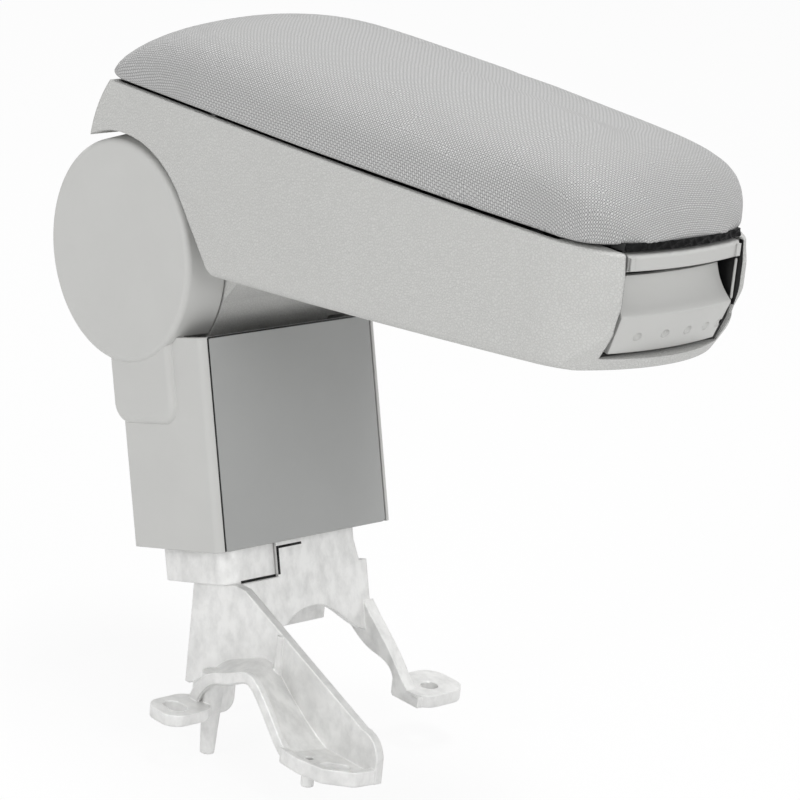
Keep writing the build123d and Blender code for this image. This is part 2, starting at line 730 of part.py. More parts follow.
# Arm: a box open at the top and at the front, with the hinge barrel under its rear end
bracket_hull = [((0, 0), 16.0), ((pawl_pivot_x, pawl_pivot_h), 4.5), ((5, 68), 5.0), ((25, 68), 5.0)]
bracket_screw_places = [(6.0, 67.0), (24.0, 67.0)]
tray_screw_places = [(50.0, 46.0), (258.0, 44.5), (50.0, -46.0), (258.0, -44.5)]
rim_bottom = tray_rim_top - tray_rim
with BuildPart() as arm_inside:
    with BuildSketch(arm_side):
        arm_profile(wall)
        with Locations((arm_rear_top + wall, arm_top - 1)):
            Rectangle(nose_x - arm_rear_top - 2 * wall, 20, align=(Align.MIN, Align.MIN))
        with Locations((bezel_rear + 2, arm_top + 30)):
            Rectangle(80, arm_top + 60, align=(Align.MIN, Align.MAX), mode=Mode.SUBTRACT)
    extrude(amount=arm_half_width + 5, both=True)
    with BuildSketch(arm_level(-20)):
        arm_plan(wall)
    extrude(amount=arm_top + 60, mode=Mode.INTERSECT)

with BuildPart() as arm_box:
    with BuildSketch(arm_side):
        arm_profile()
    extrude(amount=arm_half_width + 5, both=True)
    with BuildSketch(arm_level(-20)):
        arm_plan()
    extrude(amount=arm_top + 40, mode=Mode.INTERSECT)
    # Rounded underside and the swept-back lower front
    low_edges = [edge for edge in arm_box.edges() if edge.center().X > heel_x - 10 and edge.length > 15
                 and edge.center().Z < hinge_height + belly_h + 1.5 and abs(edge.center().Y) > 20]
    fillet(low_edges, underside_round)
    reach = nose_x - nose_axis_x
    sweep_line = [(reach + out, belly_h + rise) for out, rise in nose_sweep]
    with BuildSketch(nose_side):
        with BuildLine() as sweep_outline:
            Spline(*sweep_line)
            Polyline(sweep_line[-1], (reach + 40, sweep_line[-1][1]), (reach + 40, sweep_line[0][1]),
                     sweep_line[0])
        make_face(sweep_outline.edges())
    revolve(axis=nose_axis, revolution_arc=2 * nose_turn, mode=Mode.SUBTRACT)
    add(arm_inside.part, mode=Mode.SUBTRACT)
    # Barrel between the hinge ends
    with BuildSketch(at_y(arm_side, hub_half_width)):
        ring_sector(hub_inner, hub_outer, hub_front_angle, hub_rear_angle)
        ring_sector(hub_inner, cutout_radius + 0.5, cutout_front_angle, cutout_rear_angle)
        with BuildLine():
            Polyline(polar(cutout_radius, cutout_front_angle), (heel_x, heel_h), polar(hub_outer, -12),
                     close=True)
        make_face()
        Circle(hub_inner, mode=Mode.SUBTRACT)
    extrude(amount=2 * hub_half_width)
    # Slots for the brackets, and the ribs they are screwed to
    for side in (-1, 1):
        with BuildSketch(at_y(arm_side, side * (bracket_end + 0.2))):
            with Locations((17.5, 53)):
                Rectangle(49, 46)
        extrude(amount=side * (bracket_thickness + 0.4), mode=Mode.SUBTRACT)
        with BuildSketch(at_y(arm_side, side * 36)):
            with Locations((15, 60)):
                Rectangle(34, 26)
            Circle(cutout_radius + 1, mode=Mode.SUBTRACT)
        extrude(amount=side * (36 - bracket_end - bearing_gap))
        with BuildSketch(at_y(arm_side, side * 36)):
            with Locations(*bracket_screw_places):
                Circle(2 + fit_gap)
        extrude(amount=side * (36 - bracket_end - bearing_gap), mode=Mode.SUBTRACT)
    # Bosses for the tray screws
    for first, foot, radius in ((0, 33.2, 4.0), (1, belly_h - 2.3, 3.2)):
        with BuildSketch(arm_level(foot)):
            with Locations(*tray_screw_places[first::2]):
                Circle(radius)
        extrude(amount=rim_bottom - foot)
    with BuildSketch(arm_level(rim_bottom)):
        with Locations(*tray_screw_places):
            Circle(1.5 + fit_gap)
    extrude(amount=-14, mode=Mode.SUBTRACT)
    # Mouth of the front grips
    with BuildSketch(arm_level(mouth_sill)):
        with Locations((bezel_rear - 8, 0)):
            Rectangle(60, 2 * mouth_half_width, align=(Align.MIN, Align.CENTER))
    extrude(amount=80, mode=Mode.SUBTRACT)
    # Knuckles of the lid's hinge
    for side in (-1, 1):
        with BuildSketch(at_y(arm_side, side * knuckle_middle)):
            with Locations((lid_hinge_x, lid_hinge_h)):
                Circle(knuckle_radius)
            with Locations((lid_hinge_x, lid_hinge_h + knuckle_radius - 0.8)):
                Rectangle(8, 5, align=(Align.MIN, Align.MAX))
            with Locations((lid_hinge_x, lid_hinge_h)):
                Circle(lid_pin_radius + bearing_gap, mode=Mode.SUBTRACT)
        extrude(amount=side * (knuckle_middle - knuckle_inner))
    # Way for the pull rod
    with BuildSketch(at_y(arm_side, rod_y + 2.6)):
        with BuildLine():
            Polyline(*[(x, rod_rear_h + (x - pawl_pivot_x) * rod_line_slope + rise)
                       for x, rise in ((44, -3), (88, -3), (88, 3), (44, 3))], close=True)
        make_face()
    extrude(amount=5.2, mode=Mode.SUBTRACT)
export(arm_box.part, "arm_box")

# Brackets: steel cheeks that carry the arm on the axle
for side, name in ((-1, "right_bracket"), (1, "left_bracket")):
    with BuildPart() as bracket:
        with BuildSketch(at_y(arm_side, side * bracket_end)):
            for place, radius in bracket_hull:
                with Locations(place):
                    Circle(radius)
            make_hull()
            Circle(axle_radius + bearing_gap + bush_wall, mode=Mode.SUBTRACT)
            with Locations((pawl_pivot_x, pawl_pivot_h)):
                Circle(pawl_pin_radius + bearing_gap, mode=Mode.SUBTRACT)
            with Locations(*bracket_screw_places):
                Circle(2 + fit_gap, mode=Mode.SUBTRACT)
        extrude(amount=side * bracket_thickness)
    export(bracket.part, name)

with BuildPart() as hinge_bushes:
    for side in (-1, 1):
        with BuildSketch(at_y(arm_side, side * bracket_end)):
            Circle(axle_radius + bearing_gap + bush_wall - 0.02)
            Circle(axle_radius + bearing_gap, mode=Mode.SUBTRACT)
        extrude(amount=side * bracket_thickness)
export(hinge_bushes.part, "hinge_bushes")

with BuildPart() as bracket_screws:
    for side in (-1, 1):
        with BuildSketch(at_y(arm_side, side * bracket_start)):
            with Locations(*bracket_screw_places):
                Circle(4)
        extrude(amount=side * 2)
        with BuildSketch(at_y(arm_side, side * 35)):
            with Locations(*bracket_screw_places):
                Circle(2)
        extrude(amount=side * (35 - bracket_start))
export(bracket_screws.part, "bracket_screws")

# Storage tray: a rim over the whole opening and a tub with a sloping floor
with BuildPart() as inner_tray:
    with BuildSketch(arm_level(rim_bottom)) as rim_plan:
        arm_plan(wall + running_gap)
        with Locations((bezel_rear - 1, 0)):
            Rectangle(80, 200, align=(Align.MIN, Align.CENTER), mode=Mode.SUBTRACT)
        with Locations((arm_rear_top + wall + running_gap, 0)):
            Rectangle(80, 200, align=(Align.MAX, Align.CENTER), mode=Mode.SUBTRACT)
    extrude(amount=tray_rim)
    with BuildSketch(at_y(arm_side, tray_half_width)):
        with BuildLine():
            Polyline((tray_rear, rim_bottom), (tray_front, rim_bottom), (tray_front - 2, tray_floor_front),
                     (tray_rear + 2, tray_floor_rear), close=True)
        make_face()
    extrude(amount=2 * tray_half_width)
    with BuildSketch(at_y(arm_side, tray_half_width - tray_wall)):
        with BuildLine():
            Polyline((tray_rear + tray_wall, tray_rim_top), (tray_front - tray_wall, tray_rim_top),
                     (tray_front - 2 - tray_wall, tray_floor_front + tray_wall),
                     (tray_rear + 2 + tray_wall, tray_floor_rear + tray_wall), close=True)
        make_face()
    extrude(amount=2 * (tray_half_width - tray_wall), mode=Mode.SUBTRACT)
    with BuildSketch(arm_level(rim_bottom)):
        with Locations(*tray_screw_places):
            Circle(1.5 + fit_gap)
    extrude(amount=tray_rim, mode=Mode.SUBTRACT)
export(inner_tray.part, "inner_tray")

with BuildPart() as tray_screws:
    with BuildSketch(arm_level(tray_rim_top)):
        with Locations(*tray_screw_places):
            Circle(2.8)
    extrude(amount=1.2)
    with BuildSketch(arm_level(tray_rim_top)):
        with Locations(*tray_screw_places):
            Circle(1.5)
    extrude(amount=-12)
export(tray_screws.part, "tray_screws")

# Housing of the front grips, open at the front and the top
bezel_half_width = mouth_half_width - 0.3
with BuildPart() as front_bezel:
    with BuildSketch(at_y(arm_side, bezel_half_width)):
        with BuildLine():
            Polyline((bezel_rear, mouth_sill + 0.3), (nose_x - 13, mouth_sill + 0.3),
                     (nose_x - 8, crease_h - 8), (nose_x - 6, crease_h + 4), (nose_x - 6, handle_top - 3.5),
                     (bezel_rear, handle_top - 3.5), close=True)
        make_face()
    extrude(amount=2 * bezel_half_width)
    with BuildSketch(at_y(arm_side, bezel_half_width - bezel_wall)):
        with Locations((bezel_rear + bezel_wall, mouth_sill + 0.3 + bezel_wall)):
            Rectangle(60, 80, align=(Align.MIN, Align.MIN))
    extrude(amount=2 * (bezel_half_width - bezel_wall), mode=Mode.SUBTRACT)
    with BuildSketch(arm_side):
        with Locations((lever_pivot_x, lever_pivot_h)):
            Circle(lever_pin_radius + bearing_gap)
    extrude(amount=bezel_half_width, both=True, mode=Mode.SUBTRACT)
    rod_at_bezel = rod_rear_h + (bezel_rear - pawl_pivot_x) * rod_line_slope
    with BuildSketch(Plane(origin=(bezel_rear, 0, hinge_height), x_dir=(0, 1, 0), z_dir=(1, 0, 0))):
        with Locations((rod_y, rod_at_bezel)):
            Circle(rod_radius + 1.2)
    extrude(amount=bezel_wall, mode=Mode.SUBTRACT)
export(front_bezel.part, "front_bezel")

with BuildPart() as lever_pin:
    with BuildSketch(at_y(arm_side, bezel_half_width)):
        with Locations((lever_pivot_x, lever_pivot_h)):
            Circle(lever_pin_radius)
    extrude(amount=2 * bezel_half_width)
export(lever_pin.part, "lever_pin")

with BuildPart() as pawl_pin:
    with BuildSketch(at_y(arm_side, bracket_end)):
        with Locations((pawl_pivot_x, pawl_pivot_h)):
            Circle(pawl_pin_radius)
    extrude(amount=2 * bracket_end)
export(pawl_pin.part, "pawl_pin")

with BuildPart() as lid_hinge_pins:
    for side in (-1, 1):
        with BuildSketch(at_y(arm_side, side * knuckle_outer)):
            with Locations((lid_hinge_x, lid_hinge_h)):
                Circle(lid_pin_radius)
        extrude(amount=side * (knuckle_outer - knuckle_inner))
export(lid_hinge_pins.part, "lid_hinge_pins")

# Lid: a board with hinge knuckles, and a crowned pad on it
board_bottom = arm_top + board_gap
board_top = board_bottom + board_thickness
board_screw_places = [(20.0, -30.0), (20.0, 30.0), (250.0, -30.0), (250.0, 30.0)]
lever_centre = nose_x - 1 - bow_radius
board_lip_radius = bow_radius - 1.5
board_lip_depth = 7.0
board_lip_half_width = mouth_half_width - 0.6
with BuildPart() as lid_board:
    with BuildSketch(arm_level(board_bottom)):
        arm_plan(board_inset)
        with Locations((lid_hinge_x + 1, 0)):
            Rectangle(80, 200, align=(Align.MAX, Align.CENTER), mode=Mode.SUBTRACT)
        with Locations(*board_screw_places):
            Circle(1.5 + fit_gap, mode=Mode.SUBTRACT)
    extrude(amount=board_thickness)
    # Front edge, seen between the pad and the upper grip
    with BuildSketch(arm_level(board_bottom)):
        with Locations((lever_centre, 0)):
            Circle(board_lip_radius)
            Circle(board_lip_radius - board_lip_depth, mode=Mode.SUBTRACT)
        with Locations((nose_x - 20, 0)):
            Rectangle(40, 2 * board_lip_half_width, mode=Mode.INTERSECT)
    extrude(amount=board_lip)
    for side in (-1, 1):
        with BuildSketch(at_y(arm_side, side * knuckle_outer)):
            with Locations((lid_hinge_x, lid_hinge_h)):
                Circle(knuckle_radius)
                Rectangle(2 * knuckle_radius, board_top - lid_hinge_h, align=(Align.CENTER, Align.MIN))
                Circle(lid_pin_radius + bearing_gap, mode=Mode.SUBTRACT)
        extrude(amount=side * (knuckle_outer - knuckle_middle - 0.3))
export(lid_board.part, "lid_board")


def pad_section(x):
    """Half-width and height of the pad at a distance along the arm."""
    along = 2 * (x - lid_rear) / (lid_front - lid_rear) - 1
    height = lid_crown * (1 - abs(along) ** (7.2 if along < 0 else 19.3))
    taper = max(0.0, (min(x, nose_bend_x) - side_bend_x) / (nose_bend_x - side_bend_x))
    half_width = lid_rear_half_width - (lid_rear_half_width - lid_nose_half_width) * taper ** 2
    if x > nose_bend_x:
        half_width *= max(0.0, 1 - ((x - nose_bend_x) / (lid_front - nose_bend_x + 4)) ** 2) ** 0.5
    corner = 14.0
    if x < lid_rear + corner:
        half_width += -corner + (corner ** 2 - (lid_rear + corner - x) ** 2) ** 0.5
    return half_width, height


pad_stations = [-21.4, -16.0, 0.0, 40.0, 90.0, 150.0, 210.0, 255.0, 280.0, 292.0, 299.0, 301.4]
pad_ratios = [-1.0, -0.985, -0.93, -0.8, -0.55, 0.0, 0.55, 0.8, 0.93, 0.985, 1.0]
with BuildPart() as lid_pad:
    for station in pad_stations:
        half_width, height = pad_section(station)
        outline = [(half_width * t, height * (1 - abs(t) ** 1.6) ** 0.23) for t in pad_ratios]
        across = Plane(origin=(station, 0, hinge_height + board_bottom), x_dir=(0, 1, 0), z_dir=(1, 0, 0))
        with BuildSketch(across):
            with BuildLine():
                Spline(*outline)
                Line(outline[-1], outline[0])
            make_face()
    loft()
    # Recess for the board and its front edge
    with BuildSketch(arm_level(board_bottom)):
        arm_plan(board_inset - fit_gap)
    extrude(amount=board_thickness, mode=Mode.SUBTRACT)
    with BuildSketch(arm_level(board_bottom - 1)):
        with Locations((lever_centre, 0)):
            Circle(board_lip_radius + 10)
            Circle(board_lip_radius - board_lip_depth - fit_gap, mode=Mode.SUBTRACT)
        with Locations((nose_x - 20, 0)):
            Rectangle(60, 2 * (board_lip_half_width + fit_gap), mode=Mode.INTERSECT)
    extrude(amount=board_lip + 1 + fit_gap, mode=Mode.SUBTRACT)
    with BuildSketch(arm_level(board_top)):
        with Locations(*board_screw_places):
            Circle(1.5 + fit_gap)
    extrude(amount=12, mode=Mode.SUBTRACT)
export(lid_pad.part, "lid_pad")

with BuildPart() as board_screws:
    with BuildSketch(arm_level(board_bottom)):
        with Locations(*board_screw_places):
            Circle(3)
    extrude(amount=-1.4)
    with BuildSketch(arm_level(board_bottom)):
        with Locations(*board_screw_places):
            Circle(1.5)
    extrude(amount=board_thickness + 10)
export(board_screws.part, "board_screws")

catch_x = 285.0
with BuildPart() as lid_catch:
    with BuildSketch(Plane(origin=(catch_x, 0, hinge_height), x_dir=(0, 1, 0), z_dir=(1, 0, 0))):
        with Locations((0, (67 + board_bottom) / 2)):
            RectangleRounded(18, board_bottom - 67, 2)
        with Locations((0, 71)):
            RectangleRounded(11, 4, 1, mode=Mode.SUBTRACT)
    extrude(amount=-2)
    with BuildSketch(arm_level(board_bottom)):
        with Locations((catch_x - 6, 0)):
            Rectangle(12, 18)
    extrude(amount=-1.5)
export(lid_catch.part, "lid_catch")

# Upper grip: a bowed bar on two guide arms
grip_front = bow_radius
with BuildPart() as lid_handle:
    with BuildSketch(bow_side):
        with Locations((grip_front - handle_depth / 2, (handle_bottom + handle_top) / 2)):
            RectangleRounded(handle_depth, handle_top - handle_bottom, 1.8)
    revolve(axis=bow_axis, revolution_arc=2 * bow_angle)
    with BuildSketch(arm_level(handle_bottom - 5)):
        with Locations((nose_x - 20, 0)):
            Rectangle(40, 2 * handle_half_width)
    extrude(amount=handle_top - handle_bottom + 10, mode=Mode.INTERSECT)
    for side in (-1, 1):
        with BuildSketch(at_y(arm_side, side * (handle_half_width - 0.3))):
            with Locations((nose_x - 28, handle_bottom + 1)):
                Rectangle(25, handle_top - handle_bottom - 2, align=(Align.MIN, Align.MIN))
        extrude(amount=side * 2.4)
    with BuildSketch(arm_level(handle_bottom + 1)):
        with Locations((catch_x + 3, 0)):
            Rectangle(14, 9, align=(Align.MIN, Align.CENTER))
    extrude(amount=2)
export(lid_handle.part, "lid_handle")

# Lower grip: a hollow upper face, a crease and a lower face with dimples
lower_rake = lever_bottom_set / lever_lower
hollow_h = crease_h + lever_hollow / 2
inner_crease = (grip_front - 1.4 * lever_skin, crease_h - 0.6)
inner_top = (grip_front - lever_top_set - lever_skin, lever_top_h)
with BuildPart() as tilt_lever:
    with BuildSketch(bow_side):
        with BuildLine() as lever_section:
            ThreePointArc((grip_front - lever_top_set, lever_top_h), (grip_front - lever_hollow_set, hollow_h),
                          (grip_front, crease_h))
            Polyline((grip_front, crease_h), (grip_front - lever_bottom_set, lever_bottom_h),
                     (grip_front - lever_bottom_set - lever_skin, lever_bottom_h), inner_crease)
            ThreePointArc(inner_crease, (grip_front - lever_hollow_set - lever_skin, hollow_h - 0.6), inner_top)
            Line(inner_top, (grip_front - lever_top_set, lever_top_h))
        make_face(lever_section.edges())
    revolve(axis=bow_axis, revolution_arc=2 * bow_angle)
    with BuildSketch(Plane(origin=(nose_x - 40, 0, hinge_height), x_dir=(0, 1, 0), z_dir=(1, 0, 0))):
        with BuildLine() as lever_front:
            Polyline((-28.5, lever_top_h + 1), (-lever_half_width, crease_h), (-30.8, lever_bottom_h - 1),
                     (30.8, lever_bottom_h - 1), (lever_half_width, crease_h), (28.5, lever_top_h + 1),
                     close=True)
        make_face(lever_front.edges())
    extrude(amount=60, mode=Mode.INTERSECT)
    crease_edges = [edge for edge in tilt_lever.edges() if abs(edge.center().Z - hinge_height - crease_h) < 0.05
                    and edge.length > lever_half_width]
    fillet(crease_edges, crease_round)
    # Row of dimples
    for turn in dimple_angles:
        reach = grip_front - (crease_h - dimple_h) * lower_rake + dimple_radius * 0.35
        along, across = polar(reach, turn)
        with Locations((lever_centre + along, across, hinge_height + dimple_h)):
            Sphere(dimple_radius, rotation=(0, 90, turn), mode=Mode.SUBTRACT)
    # Pivot lugs and the tail that draws the rod
    for side in (-1, 1):
        with BuildSketch(at_y(arm_side, side * 26)):
            with BuildLine() as lug:
                Polyline((lever_pivot_x, lever_pivot_h + 3.5),
                         (nose_x - lever_top_set - 3.9, lever_top_h - 2.3),
                         (nose_x - lever_hollow_set / 2 - 5.8, crease_h + 4.7),
                         (lever_pivot_x, lever_pivot_h - 3.5), close=True)
            make_face(lug.edges())
            with Locations((lever_pivot_x, lever_pivot_h)):
                Circle(3.5)
        extrude(amount=side * 4)
    tail_end = [(nose_x - 1 - drop * lower_rake - lever_skin / 2, crease_h - drop) for drop in (3.3, 11.3)]
    with BuildSketch(at_y(arm_side, pawl_half_thickness)):
        with BuildLine() as tail:
            Polyline((lever_pivot_x, rod_front_h + 3.6), *tail_end, (lever_pivot_x, rod_front_h - 3.6),
                     close=True)
        make_face(tail.edges())
        with Locations((lever_pivot_x, rod_front_h)):
            Circle(3.6)
            Circle(rod_hole, mode=Mode.SUBTRACT)
    extrude(amount=2 * pawl_half_thickness)
    with BuildSketch(arm_side):
        with Locations((lever_pivot_x, lever_pivot_h)):
            Circle(lever_pin_radius + bearing_gap)
    extrude(amount=lever_half_width, both=True, mode=Mode.SUBTRACT)
export(tilt_lever.part, "tilt_lever")

# Rod from the lever's tail to the pawl, with both ends bent
with BuildPart() as pull_rod:
    with BuildLine() as rod_path:
        FilletPolyline((pawl_pivot_x, -pawl_half_thickness - 1.5, hinge_height + rod_rear_h),
                       (pawl_pivot_x, rod_y, hinge_height + rod_rear_h),
                       (lever_pivot_x, rod_y, hinge_height + rod_front_h),
                       (lever_pivot_x, -pawl_half_thickness - 1.5, hinge_height + rod_front_h), radius=2)
    with BuildSketch(Plane(origin=rod_path.line @ 0, z_dir=rod_path.line % 0)):
        Circle(rod_radius)
    sweep()
export(pull_rod.part, "pull_rod")

with BuildPart() as lock_pawl:
    nose_x_at_sector = sector_radius + running_gap
    with BuildSketch(at_y(arm_side, pawl_half_thickness)):
        with Locations((pawl_pivot_x, pawl_pivot_h)):
            Circle(4.7)
        with Locations((pawl_pivot_x, rod_rear_h)):
            Circle(4.4)
        make_hull()
        with BuildLine():
            Polyline((pawl_pivot_x, 14), (nose_x_at_sector, 6), (nose_x_at_sector, 3), (pawl_pivot_x, 4.7),
                     close=True)
        make_face()
        with Locations((pawl_pivot_x, pawl_pivot_h)):
            Circle(pawl_pin_radius + bearing_gap, mode=Mode.SUBTRACT)
        with Locations((pawl_pivot_x, rod_rear_h)):
            Circle(rod_hole, mode=Mode.SUBTRACT)
    extrude(amount=2 * pawl_half_thickness)
export(lock_pawl.part, "lock_pawl")
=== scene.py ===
import json

import bpy
import numpy as np
from mathutils import Matrix, Vector


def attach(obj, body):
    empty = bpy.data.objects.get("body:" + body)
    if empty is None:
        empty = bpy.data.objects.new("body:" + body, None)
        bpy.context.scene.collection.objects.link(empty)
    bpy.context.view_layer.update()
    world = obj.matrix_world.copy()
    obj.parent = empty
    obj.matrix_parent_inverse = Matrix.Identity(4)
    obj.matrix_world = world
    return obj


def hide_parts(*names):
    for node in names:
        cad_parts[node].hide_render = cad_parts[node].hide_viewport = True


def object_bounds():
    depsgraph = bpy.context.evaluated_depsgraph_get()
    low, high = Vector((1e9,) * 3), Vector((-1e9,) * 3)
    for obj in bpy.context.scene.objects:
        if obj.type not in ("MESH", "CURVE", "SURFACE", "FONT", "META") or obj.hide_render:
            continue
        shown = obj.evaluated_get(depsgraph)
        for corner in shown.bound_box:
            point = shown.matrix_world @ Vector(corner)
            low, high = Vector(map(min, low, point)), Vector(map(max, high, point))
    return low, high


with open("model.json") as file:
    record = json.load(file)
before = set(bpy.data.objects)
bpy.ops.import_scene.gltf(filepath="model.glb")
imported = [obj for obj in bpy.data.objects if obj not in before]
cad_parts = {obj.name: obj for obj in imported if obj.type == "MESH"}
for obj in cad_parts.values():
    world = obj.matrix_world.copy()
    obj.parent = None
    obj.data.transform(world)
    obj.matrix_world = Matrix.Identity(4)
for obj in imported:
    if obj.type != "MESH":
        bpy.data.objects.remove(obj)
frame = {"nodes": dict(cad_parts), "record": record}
cad_box = [list(corner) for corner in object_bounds()]
nodes = frame["nodes"]

HINGE = 0.197                          # hinge axis above the feet
PAD_REAR, PAD_FRONT = -0.022, 0.3026   # ends of the lid's padded cover
PAD_BASE = 0.0790                      # its lower edge above the hinge axis
PAD_LIFT = 0.0016                      # how much that edge lifts over the front grips
PAD_CROWN = 0.0380                     # height of its crown above that edge
PAD_HALF_WIDTH = 0.0583
TAPER_START, TAPER = 0.090, 0.0085     # where its sides begin to draw in, and by how much at the nose
NOSE_START, NOSE_LENGTH = 0.2708, 0.0329
REAR_START, REAR_CORNER = -0.008, 0.014
GRIP_CENTRE = 0.146                    # centre of the bow of the front grips, along the arm
GRIP_RADIUS = 0.157
CHEEK_CENTRE = (0.2640, 0.0025)        # centre of the round cheeks beside the mouth, in plan
CHEEK_RADIUS = 0.04717
CHEEK_END = np.radians(42.9)           # angle at which the cheeks turn into the mouth
MOUTH_HALF = 0.03445                   # half width of the mouth inside its cheeks
FILM_HALF = 0.0336                     # half width of the film at the lid's front
COLUMN_LEAN = np.radians(15.7)


# Shader node groups

class NodeBuilder:
    """Adds nodes to a tree and links them by socket name."""

    def __init__(self, tree):
        self.tree = tree

    def put(self, socket, value):
        if isinstance(value, bpy.types.NodeSocket):
            self.tree.links.new(value, socket)
        else:
            socket.default_value = value

    def add(self, kind, inputs=None, **settings):
        node = self.tree.nodes.new(kind)
        for name, value in settings.items():
            setattr(node, name, value)
        for name, value in (inputs or {}).items():
            self.put(node.inputs[name], value)
        return node

    def math(self, operation, a, b=0.0, c=0.0):
        return self.add("ShaderNodeMath", {0: a, 1: b, 2: c}, operation=operation).outputs[0]

    def ramp(self, value, low, high, to_low=0.0, to_high=1.0):
        return self.add("ShaderNodeMapRange", {"Value": value, "From Min": low, "From Max": high,
                                               "To Min": to_low, "To Max": to_high}).outputs["Result"]

    def noise(self, place, scale, detail=2.0, roughness=0.5):
        return self.add("ShaderNodeTexNoise", {"Vector": place, "Scale": scale, "Detail": detail,
                                               "Roughness": roughness}).outputs["Fac"]

    def mix(self, factor, a, b):
        node = self.add("ShaderNodeMix", data_type="RGBA")
        for socket, value in zip((node.inputs["Factor"], node.inputs[6], node.inputs[7]), (factor, a, b)):
            self.put(socket, value)
        return node.outputs[2]


def empty_tree(owner):
    """Turns on the nodes of a material or a world, clears them, and gives a builder for them."""
    owner.use_nodes = True
    owner.node_tree.nodes.clear()
    return NodeBuilder(owner.node_tree)


def new_group(name, inputs, outputs):
    """A shader node group with named inputs and outputs; an output is a float unless it is called Normal."""
    tree = bpy.data.node_groups.new(name, "ShaderNodeTree")
    for label, kind, value in inputs:
        socket = tree.interface.new_socket(label, in_out="INPUT", socket_type=kind)
        if value is not None:
            socket.default_value = value
    for label in outputs:
        kind = "NodeSocketVector" if label == "Normal" else "NodeSocketFloat"
        tree.interface.new_socket(label, in_out="OUTPUT", socket_type=kind)
    build = NodeBuilder(tree)
    return tree, build, tree.nodes.new("NodeGroupInput").outputs, tree.nodes.new("NodeGroupOutput").inputs


def weave_group():
    """Plain weave: threads run both ways, and the one on top changes from cell to cell like a chess board."""
    tree, build, given, out = new_group(
        "plain_weave",
        [("Vector", "NodeSocketVector", None), ("Pitch", "NodeSocketFloat", 0.0011)],
        ["Height", "Gap", "Tint"])
    wander = build.math("SUBTRACT", build.noise(given["Vector"], 90.0), 0.5)
    parts = build.add("ShaderNodeSeparateXYZ", {0: given["Vector"]}).outputs
    waves = []
    for axis, shift in (("X", 0.7), ("Y", -0.7)):
        place = build.math("DIVIDE", parts[axis], given["Pitch"])
        turn = build.math("MULTIPLY", build.math("ADD", place, build.math("MULTIPLY", wander, shift)), np.pi)
        waves.append(build.math("SINE", turn))
    over = build.ramp(build.math("MULTIPLY", waves[0], waves[1]), -0.25, 0.25)
    backs = [build.math("ABSOLUTE", wave) for wave in waves]
    top = build.math("ADD", build.math("MULTIPLY", backs[0], over),
                     build.math("MULTIPLY", backs[1], build.math("SUBTRACT", 1.0, over)))
    lift = build.math("MULTIPLY", build.math("ADD", backs[0], backs[1]), 0.5)
    height = build.math("ADD", build.math("MULTIPLY", top, 0.7), build.math("MULTIPLY", lift, 0.3))
    fibre = build.noise(given["Vector"], 2600.0)
    build.put(out["Height"], height)
    build.put(out["Gap"], build.ramp(height, 0.74, 0.28))
    build.put(out["Tint"], build.math("MULTIPLY", build.math("ADD", over, fibre), 0.5))
    return tree


def grain_group():
    """Moulded leather grain: flat-topped uneven cells between narrow creases, with a slow rise and fall."""
    tree, build, given, out = new_group(
        "leather_grain",
        [("Vector", "NodeSocketVector", None), ("Cell", "NodeSocketFloat", 0.0012)],
        ["Height", "Crease"])
    bend = build.add("ShaderNodeTexNoise", {"Vector": given["Vector"], "Scale": 260.0, "Detail": 2.0})
    moved = build.add("ShaderNodeVectorMath", {0: bend.outputs["Color"], 1: (0.0014, 0.0014, 0.0014)},
                      operation="MULTIPLY")
    place = build.add("ShaderNodeVectorMath", {0: given["Vector"], 1: moved.outputs[0]}, operation="ADD")
    cells = build.add("ShaderNodeTexVoronoi", {"Vector": place.outputs[0],
                                               "Scale": build.math("DIVIDE", 1.0, given["Cell"])},
                      feature="DISTANCE_TO_EDGE")
    dome = build.ramp(cells.outputs["Distance"], 0.0, 0.26)
    swell = build.noise(given["Vector"], 45.0, 3.0)
    build.put(out["Height"], build.math("ADD", build.math("MULTIPLY", dome, 0.8),
                                        build.math("MULTIPLY", swell, 0.2)))
    build.put(out["Crease"], build.ramp(dome, 0.7, 0.0))
    return tree


def mottle_group():
    """Slow cloudy change over a surface with a finer speckle in it."""
    tree, build, given, out = new_group(
        "mottle",
        [("Vector", "NodeSocketVector", None), ("Cloud", "NodeSocketFloat", 40.0),
         ("Speckle", "NodeSocketFloat", 900.0)],
        ["Cloud", "Speckle", "Height"])
    cloud = build.noise(given["Vector"], given["Cloud"], 4.0, 0.6)
    speckle = build.noise(given["Vector"], given["Speckle"], 3.0)
    build.put(out["Cloud"], cloud)
    build.put(out["Speckle"], speckle)
    build.put(out["Height"], build.math("ADD", build.math("MULTIPLY", cloud, 0.4),
                                        build.math("MULTIPLY", speckle, 0.6)))
    return tree


def edge_group():
    """Rounded edges: the normal of a small bevel, and how far it has turned away from the flat face."""
    tree, build, given, out = new_group(
        "rounded_edges", [("Radius", "NodeSocketFloat", 0.0005)], ["Normal", "Edge"])
    bevel = build.add("ShaderNodeBevel", {"Radius": given["Radius"]}, samples=4).outputs["Normal"]
    flat = build.add("ShaderNodeNewGeometry").outputs["Normal"]
    facing = build.add("ShaderNodeVectorMath", {0: bevel, 1: flat}, operation="DOT_PRODUCT").outputs["Value"]
    build.put(out["Normal"], bevel)
    build.put(out["Edge"], build.ramp(facing, 0.985, 0.8))
    return tree


WEAVE = weave_group()
GRAIN = grain_group()
MOTTLE = mottle_group()
EDGES = edge_group()


# Materials

def start_material(name, **constants):
    """A material with one Principled BSDF; constant values are set on its own sockets."""
    material = bpy.data.materials.new(name)
    build = empty_tree(material)
    shader = build.add("ShaderNodeBsdfPrincipled")
    for label, value in constants.items():
        shader.inputs[label.replace("_", " ")].default_value = value
    build.add("ShaderNodeOutputMaterial", {"Surface": shader.outputs[0]})
    return material, build, shader


def object_place(build):
    return build.add("ShaderNodeTexCoord").outputs["Object"]


